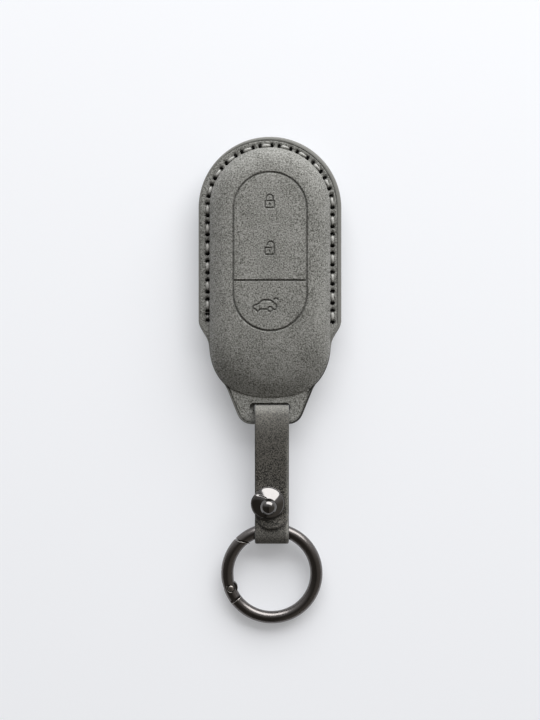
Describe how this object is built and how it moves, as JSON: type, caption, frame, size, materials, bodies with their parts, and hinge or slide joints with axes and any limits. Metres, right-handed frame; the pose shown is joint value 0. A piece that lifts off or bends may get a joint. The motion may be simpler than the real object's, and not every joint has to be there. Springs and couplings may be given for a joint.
{
  "type": "key fob cover",
  "caption": "Moulded leather cover for an oval car key, sewn round its edge, with a strap on a ball stud and a round gate ring.",
  "frame": {"origin": "middle of the cover's flat back face", "axes": "+Y from the tab towards the round end, +Z out of the front with the buttons' outline, +X to the right seen from the front"},
  "size_m": [0.046, 0.1579, 0.0152],
  "materials": {
    "leather": "grey nubuck, matt",
    "lining": "black microfibre",
    "thread": "light grey waxed thread",
    "strap_leather": "dark grey nubuck, matt",
    "gunmetal": "polished black nickel plate",
    "ring_finish": "satin gunmetal plate",
    "pin_steel": "dark plated steel",
    "spring_steel": "spring steel"
  },
  "bodies": {
    "cover": {"front_shell": "leather", "back_shell": "leather", "front_lining": "lining", "back_lining": "lining", "seam_thread": "thread"},
    "strap": {"strap": "strap_leather", "stud_collar": "gunmetal"},
    "ball": {"stud_ball": "gunmetal"},
    "screw": {"stud_screw": "gunmetal"},
    "ring": {"ring_body": "ring_finish"},
    "gate": {"ring_gate": "ring_finish", "gate_pin": "pin_steel", "gate_spring": "spring_steel"}
  },
  "joints": [
    {"name": "strap_swing", "type": "hinge", "parent": "cover", "child": "strap", "pos_m": [0.0006, -0.04335, 0.0061], "axis": [1, 0, 0], "range_deg": [-12, 14]},
    {"name": "ring_swing", "type": "hinge", "parent": "strap", "child": "ring", "pos_m": [0.0006, -0.08375, 0.00404], "axis": [1, 0, 0], "range_deg": [-115, 115]},
    {"name": "gate_open", "type": "hinge", "parent": "ring", "child": "gate", "pos_m": [-0.01269, -0.10215, 0.00271], "axis": [0, 0.072, -0.9974], "range_deg": [0, 25], "stiffness_Nm_per_rad": 0.01},
    {"name": "stud_turn", "type": "hinge", "parent": "strap", "child": "ball", "pos_m": [-0.0005, -0.07495, 0], "axis": [0, 0, 1], "range_deg": [0, 2160]},
    {"name": "screw_out", "type": "slide", "parent": "strap", "child": "screw", "axis": [0, 0, -1], "range_m": [0, 0.003]}
  ],
  "couplings": [
    {"joint": "stud_turn", "follows": "screw_out", "rad_per_m": 12566}
  ]
}
